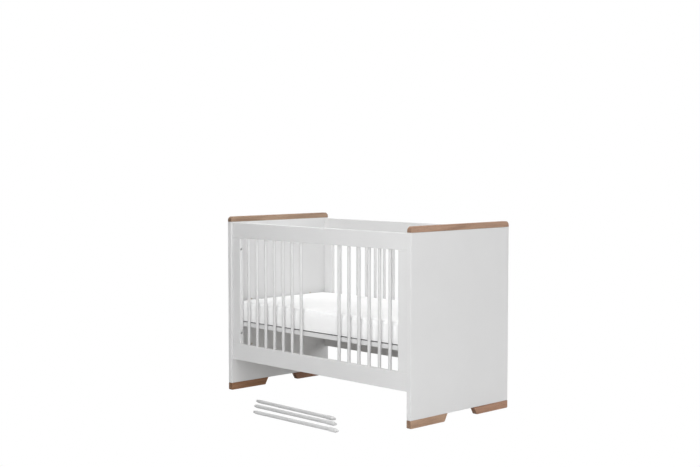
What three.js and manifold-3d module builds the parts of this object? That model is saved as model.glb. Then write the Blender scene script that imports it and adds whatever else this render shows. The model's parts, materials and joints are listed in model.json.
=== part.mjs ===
// A cot bed: two board ends with wooden caps and feet, a barred front and a barred rear,
// three bars that lift out of the front, a height-adjustable slatted base and a mattress.
// Millimetres, +Z up. The front faces -Y, and the length of the bed runs along X.
// The origin is on the floor, under the centre of the footprint of the cot and its loose bars.
import * as THREE from "three";
import { mergeVertices } from "three/addons/utils/BufferGeometryUtils.js";
import Module from "manifold-3d";

const wasm = await Module();
wasm.setup();

// Driving dimensions of the cot.
const length = 1255;
const depth = 660;
const height = 872;
const jointGap = 0.3; // between pieces that touch
const edgeChamfer = 1.5;

const endThickness = 25;
const capThickness = 26;
const capCornerRadius = 20;
const footHeight = 35;
const footLength = 240;
const footCornerRadius = 5;
const footToeRadius = 6;
const footSlant = 20;

// The two barred sides.
const sideRecess = 8; // behind the edges of the ends
const sideThickness = 20;
const bottomRail = { low: 157, high: 237.5 };
const topRail = { low: 768, high: 842 };
const stileWidth = 60;
const barDiameter = 16;
const barPositions = 16;
const removableBars = [7, 8, 9];
const tenonDiameter = 10;
const tenonLength = 10;
const tenonClearance = 0.35; // on the radius
const barShoulderChamfer = 0.8;
const tenonEndSpace = 0.5; // under a tenon, for glue

// The three bars that lift out.
const pinDiameter = 12;
const pinLength = 10;
const pinTaperLength = 6;
const socketDiameter = 13.5;
const socketDepth = 11;
const plungerTravel = 12;
const sleeveDiameter = 18.6;
const sleeveBoreDiameter = 16.6;
const sleeveLength = 53.5;
const sleeveBoreDepth = 32;
const sleeveOverlap = 8; // how far the bar reaches into the sleeve
const springWire = 1.3;
const springMeanDiameter = 11.5;
const springCoils = 5;
const springPegDiameter = 8;
const springPegLength = 10;
const springStepsPerCoil = 8;
const pinChamfer = { radius: 1, length: 1.5 };
const pinShoulder = 1; // how far the taper's narrow end stands out round the pin
const rimChamfer = { radius: 0.4, length: 1 };
const sleeveShoulder = 8; // from the floor of the bore to the start of the sleeve's taper

// The mattress and the base under it.
const baseHeight = 20;
const baseTop = 346;
const baseLevels = [-115, 0, 115]; // the three fixing heights, from the one in use
const baseLength = 1199;
const baseWidth = 598;
const baseSideRailWidth = 45;
const baseEndRailWidth = 60;
const baseBoltSpread = 400; // between the two bolts of one end
const lathCount = 10;
const lathWidth = 60;
const lathThickness = 8;
const lathChamfer = 1;
const lathRebateWidth = 12; // of the ledge in each side rail that the laths' ends lie on
const tapeWidth = 20; // the two tapes that hold the laths at their spacing
const tapeThickness = 1.2;
const tapeSpread = 300;
const tapeOverlap = 0.2; // how far a tape reaches into the laths
const mattressSize = { x: 1196, y: 596, z: 105 };
const mattressCornerRadius = 30;
const mattressEdge = 8;

// Bolts that fix the sides and the base to the ends.
const boltHoleDiameter = 7;
const boltHeadHoleDiameter = 14;
const baseBoltHeadHoleDiameter = 12;
const boltHeadHoleDepth = 12;
const insertDiameter = 9;
const insertDepth = 14;
const sideBoltHeights = [293, 711];

const turnedSides = 12;
const holeSides = 10;
const arcSteps = 6;
const drillOverrun = 5; // how far a hole's cutter stands out of the mouth

const materials = {
  whiteLacquer: new THREE.MeshStandardMaterial({ color: 0xf2f2f1, roughness: 0.45, metalness: 0 }),
  oak: new THREE.MeshStandardMaterial({ color: 0xa5826a, roughness: 0.6, metalness: 0 }),
  beech: new THREE.MeshStandardMaterial({ color: 0xd9bf98, roughness: 0.65, metalness: 0 }),
  whitePlastic: new THREE.MeshStandardMaterial({ color: 0xf4f4f4, roughness: 0.4, metalness: 0 }),
  springSteel: new THREE.MeshStandardMaterial({ color: 0x9a9a9a, roughness: 0.35, metalness: 1 }),
  mattressFabric: new THREE.MeshStandardMaterial({ color: 0xfafafa, roughness: 0.9, metalness: 0 }),
};

const cot = new THREE.Group();

function addPiece(parent, name, geometry, material, x = 0, y = 0, z = 0) {
  const mesh = new THREE.Mesh(geometry, material);
  mesh.name = name;
  mesh.position.set(x, y, z);
  parent.add(mesh);
  return mesh;
}

// A closed solid from a geometry, for cutting and joining.
function solidOf(geometry) {
  const bare = geometry.index ? geometry.toNonIndexed() : geometry.clone();
  const points = new THREE.BufferGeometry().setAttribute("position", bare.getAttribute("position"));
  const merged = mergeVertices(points, 1e-3);
  const mesh = new wasm.Mesh({
    numProp: 3,
    vertProperties: merged.attributes.position.array,
    triVerts: new Uint32Array(merged.index.array),
  });
  return new wasm.Manifold(mesh);
}

function geometryOf(solid) {
  const mesh = solid.getMesh();
  const geometry = new THREE.BufferGeometry();
  geometry.setAttribute("position", new THREE.BufferAttribute(mesh.vertProperties, 3));
  geometry.setIndex(new THREE.BufferAttribute(mesh.triVerts, 1));
  geometry.computeVertexNormals();
  return geometry;
}

function cut(geometry, tools) {
  let solid = solidOf(geometry);
  for (const tool of tools) solid = solid.subtract(solidOf(tool));
  return geometryOf(solid);
}

function join(geometries) {
  const [first, ...rest] = geometries;
  let solid = solidOf(first);
  for (const geometry of rest) solid = solid.add(solidOf(geometry));
  return geometryOf(solid);
}

// A board with chamfered edges, centred on its own origin.
function board(sizeX, sizeY, sizeZ, chamfer = edgeChamfer) {
  const halfX = sizeX / 2 - chamfer;
  const halfY = sizeY / 2 - chamfer;
  const outline = new THREE.Shape();
  outline.moveTo(-halfX, -halfY);
  outline.lineTo(halfX, -halfY);
  outline.lineTo(halfX, halfY);
  outline.lineTo(-halfX, halfY);
  outline.closePath();
  const geometry = new THREE.ExtrudeGeometry(outline, {
    depth: sizeZ - 2 * chamfer,
    bevelEnabled: true,
    bevelThickness: chamfer,
    bevelSize: chamfer,
    bevelSegments: 1,
  });
  return geometry.translate(0, 0, chamfer - sizeZ / 2);
}

// An outline drawn in Y and Z becomes a plate of the ends' thickness, centred on X = 0.
function endwisePlate(outline) {
  const geometry = new THREE.ExtrudeGeometry(outline, {
    depth: endThickness - 2 * edgeChamfer,
    curveSegments: arcSteps,
    bevelEnabled: true,
    bevelThickness: edgeChamfer,
    bevelSize: edgeChamfer,
    bevelOffset: -edgeChamfer,
    bevelSegments: 1,
  });
  geometry.translate(0, 0, edgeChamfer - endThickness / 2);
  const alongX = new THREE.Matrix4().makeBasis(
    new THREE.Vector3(0, 1, 0),
    new THREE.Vector3(0, 0, 1),
    new THREE.Vector3(1, 0, 0),
  );
  return geometry.applyMatrix4(alongX);
}

// A turned solid along +Z from a list of [radius, z] from its lower end to its upper end.
function turned(profile, sides = turnedSides) {
  const points = profile.map(([radius, z]) => new THREE.Vector2(radius, z));
  return new THREE.LatheGeometry(points, sides).rotateX(Math.PI / 2);
}

// The cutter of a round hole between two heights.
function drillAlongZ(diameter, x, y, from, to) {
  const drill = new THREE.CylinderGeometry(diameter / 2, diameter / 2, Math.abs(to - from), holeSides);
  return drill.rotateX(Math.PI / 2).translate(x, y, (from + to) / 2);
}

function drillAlongX(diameter, y, z, from, to) {
  const drill = new THREE.CylinderGeometry(diameter / 2, diameter / 2, Math.abs(to - from), holeSides);
  return drill.rotateZ(Math.PI / 2).translate((from + to) / 2, y, z);
}

const innerHalfLength = length / 2 - endThickness;
const innerLength = 2 * innerHalfLength;
const sideOffset = depth / 2 - sideRecess - sideThickness / 2; // a side's middle plane
const barOpening = innerLength - 2 * stileWidth;
const barPitch = (barOpening + barDiameter) / (barPositions + 1);
const barX = (position) => (position - (barPositions - 1) / 2) * barPitch;

// Ends: a board between the feet and the cap, with holes for the bolts' threaded inserts.
function endPanel(inwards) {
  const low = footHeight + jointGap;
  const high = height - capThickness - jointGap;
  const middle = (low + high) / 2;
  const face = (inwards * endThickness) / 2;
  const holes = [];
  const addInsertHole = (y, z) => {
    const bottom = face - inwards * insertDepth;
    const mouth = face + inwards * drillOverrun;
    holes.push(drillAlongX(insertDiameter, y, z - middle, bottom, mouth));
  };
  for (const y of [-sideOffset, sideOffset]) {
    for (const z of sideBoltHeights) addInsertHole(y, z);
  }
  for (const y of [-baseBoltSpread / 2, baseBoltSpread / 2]) {
    for (const level of baseLevels) addInsertHole(y, baseTop - baseHeight / 2 + level);
  }
  return { geometry: cut(board(endThickness, depth, high - low), holes), middle };
}

function capOutline() {
  const half = depth / 2;
  const low = height - capThickness;
  const bend = capCornerRadius;
  const outline = new THREE.Shape();
  outline.moveTo(-half, low);
  outline.lineTo(half, low);
  outline.absarc(half - bend, height - bend, bend, 0, Math.PI / 2, false);
  outline.absarc(-half + bend, height - bend, bend, Math.PI / 2, Math.PI, false);
  outline.closePath();
  return outline;
}

// A foot at the edge of an end, its toe slanting in under the board. side is -1 at the front.
function footOutline(side) {
  const outer = depth / 2;
  const toe = outer - footLength;
  const slantAngle = Math.atan2(footHeight, footSlant);
  const toeReach = footToeRadius / Math.tan((Math.PI - slantAngle) / 2);
  const points = [];
  const addArc = (y, z, radius, from, to) => {
    for (let step = 0; step <= arcSteps; step++) {
      const angle = from + ((to - from) * step) / arcSteps;
      points.push(new THREE.Vector2(y + radius * Math.cos(angle), z + radius * Math.sin(angle)));
    }
  };
  points.push(new THREE.Vector2(outer, footHeight));
  points.push(new THREE.Vector2(toe, footHeight));
  const toeCentre = toe + footSlant + toeReach;
  const toeStart = (3 * Math.PI) / 2 - slantAngle;
  addArc(toeCentre, footToeRadius, footToeRadius, toeStart, (3 * Math.PI) / 2);
  addArc(outer - footCornerRadius, footCornerRadius, footCornerRadius, -Math.PI / 2, 0);
  const placed = points.map((point) => new THREE.Vector2(point.x * side, point.y));
  return new THREE.Shape(placed);
}

function addEnd(name, direction) {
  const x = direction * (length / 2 - endThickness / 2);
  const panel = endPanel(-direction);
  addPiece(cot, `${name}_end_panel`, panel.geometry, materials.whiteLacquer, x, 0, panel.middle);
  addPiece(cot, `${name}_end_cap`, endwisePlate(capOutline()), materials.oak, x);
  addPiece(cot, `${name}_front_foot`, endwisePlate(footOutline(-1)), materials.oak, x);
  addPiece(cot, `${name}_rear_foot`, endwisePlate(footOutline(1)), materials.oak, x);
}

// A side's rail, with a blind hole for each fixed bar's tenon and each loose bar's pin.
function rail(span, holesFaceUp, loose) {
  const railHeight = span.high - span.low;
  const mouth = holesFaceUp ? railHeight / 2 : -railHeight / 2;
  const inwards = holesFaceUp ? -1 : 1;
  const holes = [];
  for (let position = 0; position < barPositions; position++) {
    const isLoose = loose.includes(position);
    const diameter = isLoose ? socketDiameter : tenonDiameter + 2 * tenonClearance;
    const holeDepth = isLoose ? socketDepth : tenonLength + tenonEndSpace;
    const bottom = mouth + inwards * holeDepth;
    holes.push(drillAlongZ(diameter, barX(position), 0, bottom, mouth - inwards * drillOverrun));
  }
  return cut(board(innerLength - 2 * jointGap, sideThickness, railHeight), holes);
}

// A side's upright, with a bolt hole along X whose wide mouth is on the face towards the bars.
function stile(direction) {
  const low = bottomRail.high + jointGap;
  const high = topRail.low - jointGap;
  const middle = (low + high) / 2;
  const mouth = (-direction * stileWidth) / 2;
  const tools = [];
  for (const z of sideBoltHeights) {
    tools.push(drillAlongX(boltHoleDiameter, 0, z - middle, -stileWidth, stileWidth));
    const bottom = mouth + direction * boltHeadHoleDepth;
    const outside = mouth - direction * drillOverrun;
    tools.push(drillAlongX(boltHeadHoleDiameter, 0, z - middle, bottom, outside));
  }
  return { geometry: cut(board(stileWidth - jointGap, sideThickness, high - low), tools), middle };
}

// A fixed bar: a round rod with square shoulders, glued into the rails by its two tenons.
function fixedBar() {
  const low = bottomRail.high + jointGap;
  const high = topRail.low - jointGap;
  const radius = barDiameter / 2;
  const shoulder = radius - barShoulderChamfer;
  const tenon = tenonDiameter / 2;
  const profile = [
    [0, bottomRail.high - tenonLength],
    [tenon, bottomRail.high - tenonLength],
    [tenon, low],
    [shoulder, low],
    [radius, low + barShoulderChamfer],
    [radius, high - barShoulderChamfer],
    [shoulder, high],
    [tenon, high],
    [tenon, topRail.low + tenonLength],
    [0, topRail.low + tenonLength],
  ];
  return turned(profile, holeSides);
}

function addSide(name, y, loose) {
  const bottomMiddle = (bottomRail.low + bottomRail.high) / 2;
  const topMiddle = (topRail.low + topRail.high) / 2;
  const white = materials.whiteLacquer;
  addPiece(cot, `${name}_bottom_rail`, rail(bottomRail, true, loose), white, 0, y, bottomMiddle);
  addPiece(cot, `${name}_top_rail`, rail(topRail, false, loose), white, 0, y, topMiddle);
  for (const [side, direction] of [["left", -1], ["right", 1]]) {
    const upright = stile(direction);
    const x = direction * (innerHalfLength - stileWidth / 2 - jointGap / 2);
    addPiece(cot, `${name}_${side}_stile`, upright.geometry, white, x, y, upright.middle);
  }
  for (let position = 0; position < barPositions; position++) {
    if (loose.includes(position)) continue;
    const number = String(position + 1).padStart(2, "0");
    addPiece(cot, `${name}_bar_${number}`, fixedBar(), white, barX(position), y, 0);
  }
}

// A loose bar lies along its own +Z: a pin, a taper and the rod, then a sprung plastic sleeve
// that carries the other pin and slides down over the rod when it is pressed.
const looseBarLength = topRail.low - bottomRail.high + 2 * pinLength;
const sleeveRim = looseBarLength - sleeveLength;
const rodEnd = sleeveRim + sleeveOverlap;
const sleeveFloor = sleeveRim + sleeveBoreDepth;

function looseRod() {
  const rod = barDiameter / 2;
  const pin = pinDiameter / 2;
  const peg = springPegDiameter / 2;
  return turned([
    [0, 0],
    [pin - pinChamfer.radius, 0],
    [pin, pinChamfer.length],
    [pin, pinLength],
    [pin + pinShoulder, pinLength],
    [rod, pinLength + pinTaperLength],
    [rod, rodEnd],
    [peg, rodEnd],
    [peg, rodEnd + springPegLength],
    [0, rodEnd + springPegLength],
  ]);
}

function sprungSleeve() {
  const outer = sleeveDiameter / 2;
  const bore = sleeveBoreDiameter / 2;
  const pin = pinDiameter / 2;
  const tip = looseBarLength;
  return turned([
    [0, sleeveFloor],
    [bore, sleeveFloor],
    [bore, sleeveRim],
    [outer - rimChamfer.radius, sleeveRim],
    [outer, sleeveRim + rimChamfer.length],
    [outer, sleeveFloor + sleeveShoulder],
    [pin + pinShoulder, tip - pinLength],
    [pin, tip - pinLength],
    [pin, tip - pinChamfer.length],
    [pin - pinChamfer.radius, tip],
    [0, tip],
  ]);
}

class SpringLine extends THREE.Curve {
  constructor(radius, low, high, coils) {
    super();
    this.radius = radius;
    this.low = low;
    this.high = high;
    this.coils = coils;
  }
  getPoint(share, target = new THREE.Vector3()) {
    const angle = 2 * Math.PI * this.coils * share;
    const z = this.low + (this.high - this.low) * share;
    return target.set(this.radius * Math.cos(angle), this.radius * Math.sin(angle), z);
  }
}

function spring() {
  const wire = springWire / 2;
  const low = rodEnd + jointGap + wire;
  const high = sleeveFloor - jointGap - wire;
  const section = new THREE.Shape();
  section.absarc(0, 0, wire, 0, 2 * Math.PI, false);
  return new THREE.ExtrudeGeometry(section, {
    steps: springCoils * springStepsPerCoil,
    curveSegments: 2,
    bevelEnabled: false,
    extrudePath: new SpringLine(springMeanDiameter / 2, low, high, springCoils),
  });
}

// Where each loose bar lies on the floor in front of the cot: its middle and its turn about Z.
const looseBars = [
  { name: "rear", x: 6, y: -446.5, turn: -0.6 },
  { name: "middle", x: 87, y: -521, turn: 0.2 },
  { name: "front", x: 189, y: -608, turn: 0.7 },
];

function addLooseBar({ name, x, y, turn }) {
  const place = new THREE.Group();
  place.position.set(x, y, sleeveDiameter / 2);
  place.rotation.z = THREE.MathUtils.degToRad(turn);
  const lying = new THREE.Group();
  lying.rotation.y = Math.PI / 2;
  lying.position.x = -looseBarLength / 2;
  place.add(lying);
  cot.add(place);
  addPiece(lying, `loose_bar_${name}`, looseRod(), materials.whiteLacquer);
  addPiece(lying, `loose_bar_${name}_sleeve`, sprungSleeve(), materials.whitePlastic);
  addPiece(lying, `loose_bar_${name}_spring`, spring(), materials.springSteel);
}

function baseEndRail(direction) {
  const mouth = (-direction * baseEndRailWidth) / 2;
  const tools = [];
  for (const y of [-baseBoltSpread / 2, baseBoltSpread / 2]) {
    tools.push(drillAlongX(boltHoleDiameter, y, 0, -baseEndRailWidth, baseEndRailWidth));
    const bottom = mouth + direction * boltHeadHoleDepth;
    const outside = mouth - direction * drillOverrun;
    tools.push(drillAlongX(baseBoltHeadHoleDiameter, y, 0, bottom, outside));
  }
  const railLength = baseWidth - 2 * baseSideRailWidth - 2 * jointGap;
  return cut(board(baseEndRailWidth, railLength, baseHeight), tools);
}

const deckLength = baseLength - 2 * baseEndRailWidth;

// A side rail of the base, with a ledge along its inner top edge. side is -1 at the front.
function baseSideRail(side) {
  const cutDepth = lathThickness + jointGap + drillOverrun;
  const rebate = new THREE.BoxGeometry(deckLength, lathRebateWidth + drillOverrun, cutDepth);
  const y = -side * (baseSideRailWidth / 2 - lathRebateWidth / 2 + drillOverrun / 2);
  rebate.translate(0, y, baseHeight / 2 + drillOverrun - cutDepth / 2);
  return cut(board(baseLength, baseSideRailWidth, baseHeight), [rebate]);
}

// The laths, joined under their undersides by the two tapes.
function lathDeck() {
  const lathLength = baseWidth - 2 * (baseSideRailWidth - lathRebateWidth + jointGap);
  const usedLength = deckLength - 2 * jointGap;
  const pitch = (usedLength - lathWidth) / (lathCount - 1);
  const top = baseHeight / 2;
  const pieces = [];
  for (const y of [-tapeSpread / 2, tapeSpread / 2]) {
    const tapeHeight = tapeThickness + tapeOverlap;
    const tape = new THREE.BoxGeometry(usedLength - lathWidth, tapeWidth, tapeHeight);
    pieces.push(tape.translate(0, y, top - lathThickness + tapeOverlap - tapeHeight / 2));
  }
  for (let lath = 0; lath < lathCount; lath++) {
    const x = (lathWidth - usedLength) / 2 + lath * pitch;
    const shape = board(lathWidth, lathLength, lathThickness, lathChamfer);
    pieces.push(shape.translate(x, 0, top - lathThickness / 2));
  }
  return join(pieces);
}

function addBase() {
  const z = baseTop - baseHeight / 2;
  const sideY = (baseWidth - baseSideRailWidth) / 2;
  const endX = (baseLength - baseEndRailWidth) / 2;
  const white = materials.whiteLacquer;
  for (const [name, direction] of [["front", -1], ["rear", 1]]) {
    const sideRail = baseSideRail(direction);
    addPiece(cot, `base_${name}_rail`, sideRail, white, 0, direction * sideY, z);
  }
  for (const [name, direction] of [["left", -1], ["right", 1]]) {
    addPiece(cot, `base_${name}_end_rail`, baseEndRail(direction), white, direction * endX, 0, z);
  }
  addPiece(cot, "base_lath_deck", lathDeck(), materials.beech, 0, 0, z);
}

// The mattress: rounded corners and softened edges.
function mattress() {
  const halfX = mattressSize.x / 2 - mattressEdge;
  const halfY = mattressSize.y / 2 - mattressEdge;
  const bend = mattressCornerRadius - mattressEdge;
  const outline = new THREE.Shape();
  outline.moveTo(-halfX + bend, -halfY);
  outline.absarc(halfX - bend, -halfY + bend, bend, -Math.PI / 2, 0, false);
  outline.absarc(halfX - bend, halfY - bend, bend, 0, Math.PI / 2, false);
  outline.absarc(-halfX + bend, halfY - bend, bend, Math.PI / 2, Math.PI, false);
  outline.absarc(-halfX + bend, -halfY + bend, bend, Math.PI, (3 * Math.PI) / 2, false);
  const geometry = new THREE.ExtrudeGeometry(outline, {
    depth: mattressSize.z - 2 * mattressEdge,
    curveSegments: 4,
    bevelEnabled: true,
    bevelThickness: mattressEdge,
    bevelSize: mattressEdge,
    bevelSegments: 2,
  });
  return geometry.translate(0, 0, mattressEdge);
}

addEnd("left", -1);
addEnd("right", 1);
addSide("front", -sideOffset, removableBars);
addSide("rear", sideOffset, []);
addBase();
addPiece(cot, "mattress", mattress(), materials.mattressFabric, 0, 0, baseTop + jointGap);
for (const looseBar of looseBars) addLooseBar(looseBar);

// Everything moves back so that the origin is under the centre of the whole footprint.
const footprint = new THREE.Box3().setFromObject(cot, true);
cot.position.y = -(footprint.min.y + footprint.max.y) / 2;

export default cot;
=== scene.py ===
"""Looks for a cot bed: lacquered boards and bars, oak caps and feet, beech laths, a soft mattress.

Metres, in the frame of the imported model. Every piece takes its place from the node it stands for.
"""
import json
import math
import bmesh
import bpy
from mathutils import Matrix, Vector


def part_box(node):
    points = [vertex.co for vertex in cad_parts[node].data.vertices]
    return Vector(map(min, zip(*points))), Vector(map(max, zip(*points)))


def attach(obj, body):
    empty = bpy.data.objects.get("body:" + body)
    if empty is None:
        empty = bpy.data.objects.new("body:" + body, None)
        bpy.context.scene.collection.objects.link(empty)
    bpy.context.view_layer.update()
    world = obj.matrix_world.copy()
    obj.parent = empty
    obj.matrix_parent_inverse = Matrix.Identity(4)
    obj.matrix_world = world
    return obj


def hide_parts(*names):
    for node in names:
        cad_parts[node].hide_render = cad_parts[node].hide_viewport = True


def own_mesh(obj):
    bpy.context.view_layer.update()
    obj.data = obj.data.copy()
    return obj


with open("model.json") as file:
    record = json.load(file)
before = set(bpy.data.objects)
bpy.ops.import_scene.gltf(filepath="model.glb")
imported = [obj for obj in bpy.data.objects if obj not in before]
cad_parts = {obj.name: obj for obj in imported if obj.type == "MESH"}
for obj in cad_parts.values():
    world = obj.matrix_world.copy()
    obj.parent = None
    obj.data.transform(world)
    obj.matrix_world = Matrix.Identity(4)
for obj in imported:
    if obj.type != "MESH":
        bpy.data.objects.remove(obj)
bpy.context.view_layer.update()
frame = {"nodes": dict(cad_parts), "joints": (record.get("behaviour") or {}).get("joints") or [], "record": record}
nodes = frame["nodes"]
body_of = {
    node: body
    for body, members in frame["record"]["behaviour"]["bodies"].items()
    for node in members
}
joint_axis = {joint["name"]: Vector(joint["axis"]) for joint in frame["joints"]}

MM = 0.001
SIDES = ("front", "rear")
ENDS = ("left", "right")
LOOSE_BARS = ("rear", "middle", "front")
BAR_POSITIONS = 16
LOOSE_POSITIONS = (8, 9, 10)

# Edges and round work.
BOARD_EDGE = 1.6 * MM
END_BOARD_EDGE = 2 * MM
TRIM_EDGE = 1.3 * MM
LATH_EDGE = 1.2 * MM
FINE_EDGE = 0.4 * MM
FINE_EDGE_SEGMENTS = 2
EDGE_SEGMENTS = 4
ARC_STEPS = 18
SOFT_STEPS = 4
TURNED_SIDES = 40
WIRE_SIDES = 12
STAPLE_SIDES = 8
SHARP_ANGLE = math.radians(32)
TINY = 1e-7  # a length that counts as nothing

# The caps and feet.
CAP_CORNER = 20 * MM
FOOT_CORNER = 5 * MM
FOOT_TOE = 6 * MM
FOOT_SLANT = 20 * MM

# Bars and their sockets.
TENON_LENGTH = 10 * MM
TENON_DIAMETER = 10 * MM
TENON_FIT = 0.05 * MM  # on the radius
TENON_END_SPACE = 0.5 * MM
BAR_SOFTNESS = 0.8 * MM
BAR_SHOULDER_GAP = 0.3 * MM  # between a bar's shoulder and the rail
SOCKET_DIAMETER = 13.5 * MM
SOCKET_DEPTH = 11 * MM
HOLE_CHAMFER = 0.6 * MM
HOLE_OVERRUN = 4 * MM

# The loose bars.
PIN_DIAMETER = 12 * MM
PIN_LENGTH = 10 * MM
PIN_TAPER = 6 * MM
PIN_SHOULDER = 1 * MM
ROD_SOFTNESS = 2 * MM
SLEEVE_SOFTNESS = 1.6 * MM
SLEEVE_BORE = 16.6 * MM
SLEEVE_BORE_DEPTH = 32 * MM
SLEEVE_SHOULDER = 8 * MM  # from the bore's floor to the start of the taper
SPRING_PEG = 8 * MM
SPRING_PEG_LENGTH = 10 * MM
SPRING_WIRE = 1.3 * MM
SPRING_MEAN = 11.5 * MM
SPRING_COILS = 5
SPRING_FLAT_TURNS = 0.8  # at each end
SPRING_STEPS = 24
SPRING_END_GAP = 0.3 * MM

# Bolts and threaded inserts.
FRAME_BOLT_HEIGHTS = (293 * MM, 711 * MM)
FRAME_COUNTERBORE = 14 * MM
BASE_COUNTERBORE = 12 * MM
COUNTERBORE_DEPTH = 12 * MM
BASE_BOLT_HEAD = 10 * MM
FRAME_BOLT_HEAD = 12 * MM
BOLT_HEAD_LENGTH = 6 * MM
BOLT_HEAD_SOFTNESS = 0.7 * MM
BOLT_SEAT_GAP = 0.02 * MM
BOLT_SOCKET_WIDTH = 5 * MM
BOLT_SOCKET_DEPTH = 3.2 * MM
INSERT_DIAMETER = 9 * MM
INSERT_BORE = 6.4 * MM
INSERT_DEPTH = 14 * MM
INSERT_FIT = 0.05 * MM  # on the radius
INSERT_SINK = 0.3 * MM
INSERT_END_SPACE = 1 * MM
INSERT_BEVEL = (0.5 * MM, 0.4 * MM)
INSERT_THREADS = 8
INSERT_THREAD_DEPTH = 0.35 * MM
BASE_BOLT_SPREAD = 400 * MM
BASE_LEVEL_STEP = 115 * MM

# The lath deck.
LATH_COUNT = 10
LATH_WIDTH = 60 * MM
LATH_THICKNESS = 8 * MM
LATH_REBATE_WIDTH = 12 * MM
LATH_REBATE_GAP = 0.3 * MM  # between the ledge and the laths
TAPE_WIDTH = 20 * MM
TAPE_THICKNESS = 1.2 * MM
TAPE_SPREAD = 300 * MM
TAPE_INSET = 0.4 * LATH_WIDTH  # from each end of the deck
STAPLE_WIRE = 0.5 * MM
STAPLE_LENGTH = 9 * MM
STAPLE_BEND = 0.8 * MM
STAPLE_OFFSET = LATH_WIDTH / 5  # to each side of a lath's middle


# ---- materials

NOISE_LOW, NOISE_HIGH = 0.3, 0.7
LACQUER_TONE = 0.69
# The bars' tones are darker copies of the boards' white lacquer: painted shade, deepest on the loose bars that lie
# on the floor.
BAR_TONE_PAINTED_SHADE = 0.65
LOOSE_BAR_TONE_PAINTED_SHADE = 0.56
OAK_DARK = (0.35, 0.228, 0.155)
OAK_MIDDLE = (0.43, 0.288, 0.198)
OAK_PALE = (0.49, 0.338, 0.238)
# Each oak part has its own tint over the three shades above. The left cap's and left feet's darker tints are
# painted shade, for the shade at the cot's left end and under it.
OAK_TINTS_WITH_PAINTED_SHADE = {
    "left_end_cap": (0.82, 0.83, 0.83),
    "right_end_cap": (0.91, 0.84, 0.83),
    "left_front_foot": (0.72, 0.57, 0.45),
    "left_rear_foot": (0.6, 0.47, 0.42),
    "right_front_foot": (0.99, 0.95, 0.93),
    "right_rear_foot": (0.94, 0.8, 0.76),
}


def new_material(name, **sockets):
    """A material with a Principled shader. Sockets are set by name, with _ for a space."""
    material = bpy.data.materials.new(name)
    material.use_nodes = True
    shader = material.node_tree.nodes["Principled BSDF"]
    for socket, value in sockets.items():
        shader.inputs[socket.replace("_", " ")].default_value = value
    return material, shader


def add(material, kind, inputs=None, **settings):
    """A node with its settings, and its inputs set to values or linked to sockets."""
    tree = material.node_tree
    node = tree.nodes.new("ShaderNode" + kind)
    for setting, value in settings.items():
        setattr(node, setting, value)
    for socket, value in (inputs or {}).items():
        if isinstance(value, bpy.types.NodeSocket):
            tree.links.new(value, node.inputs[socket])
        else:
            node.inputs[socket].default_value = value
    return node


def link(material, source, target):
    material.node_tree.links.new(source, target)


def place(material, scale=(1, 1, 1)):
    """Points of the frame in metres, stretched by scale."""
    points = add(material, "TexCoord").outputs["Object"]
    return add(material, "Mapping", {"Vector": points, "Scale": scale}).outputs["Vector"]


def mottle(material, vector, scale, detail=2.0, roughness=0.5, distortion=0.0):
    """Smooth noise, mostly from NOISE_LOW to NOISE_HIGH, with scale cells to the metre."""
    settings = {
        "Vector": vector,
        "Scale": scale,
        "Detail": detail,
        "Roughness": roughness,
        "Distortion": distortion,
    }
    return add(material, "TexNoise", settings).outputs["Fac"]


def between(material, value, low, high, to_low=0.0, to_high=1.0):
    """The value's range from low to high, carried over to another and held at its ends."""
    settings = {
        "Value": value,
        "From Min": low,
        "From Max": high,
        "To Min": to_low,
        "To Max": to_high,
    }
    return add(material, "MapRange", settings).outputs["Result"]


def spread(material, noise, to_low, to_high):
    """Noise carried over to another range."""
    return between(material, noise, NOISE_LOW, NOISE_HIGH, to_low, to_high)


def ramp(material, value, stops):
    """A colour that runs through the stops, which are (value, colour) pairs."""
    node = add(material, "ValToRGB", {"Fac": value})
    elements = node.color_ramp.elements
    while len(elements) < len(stops):
        elements.new(0.5)
    for element, (position, colour) in zip(elements, stops):
        element.position = position
        element.color = (*colour, 1)
    return node.outputs["Color"]


def clouded(material, noise, first, second):
    """A colour that drifts from one to another with the noise."""
    return ramp(material, noise, [(NOISE_LOW, first), (NOISE_HIGH, second)])


def darkened(material, colour, shade):
    """The colour multiplied by the shade."""
    settings = {0: 1.0, 6: colour, 7: shade}
    node = add(material, "Mix", settings, data_type="RGBA", blend_type="MULTIPLY")
    return node.outputs[2]


def sum_of(material, first, second, share=1.0):
    """first + second × share."""
    settings = {0: second, 1: share, 2: first}
    return add(material, "Math", settings, operation="MULTIPLY_ADD").outputs["Value"]


def dress(material, shader, colour, rough, relief, strength, distance):
    """Links the shader's colour, roughness and bump."""
    link(material, colour, shader.inputs["Base Color"])
    link(material, rough, shader.inputs["Roughness"])
    settings = {"Height": relief, "Strength": strength, "Distance": distance}
    link(material, add(material, "Bump", settings).outputs["Normal"], shader.inputs["Normal"])


def facing(material, axis):
    """How squarely the surface faces along an axis: 0 when it lies along it, 1 across it."""
    normal = add(material, "TexCoord").outputs["Normal"]
    part = add(material, "SeparateXYZ", {"Vector": normal}).outputs[axis]
    return add(material, "Math", {0: part}, operation="ABSOLUTE").outputs["Value"]


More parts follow.
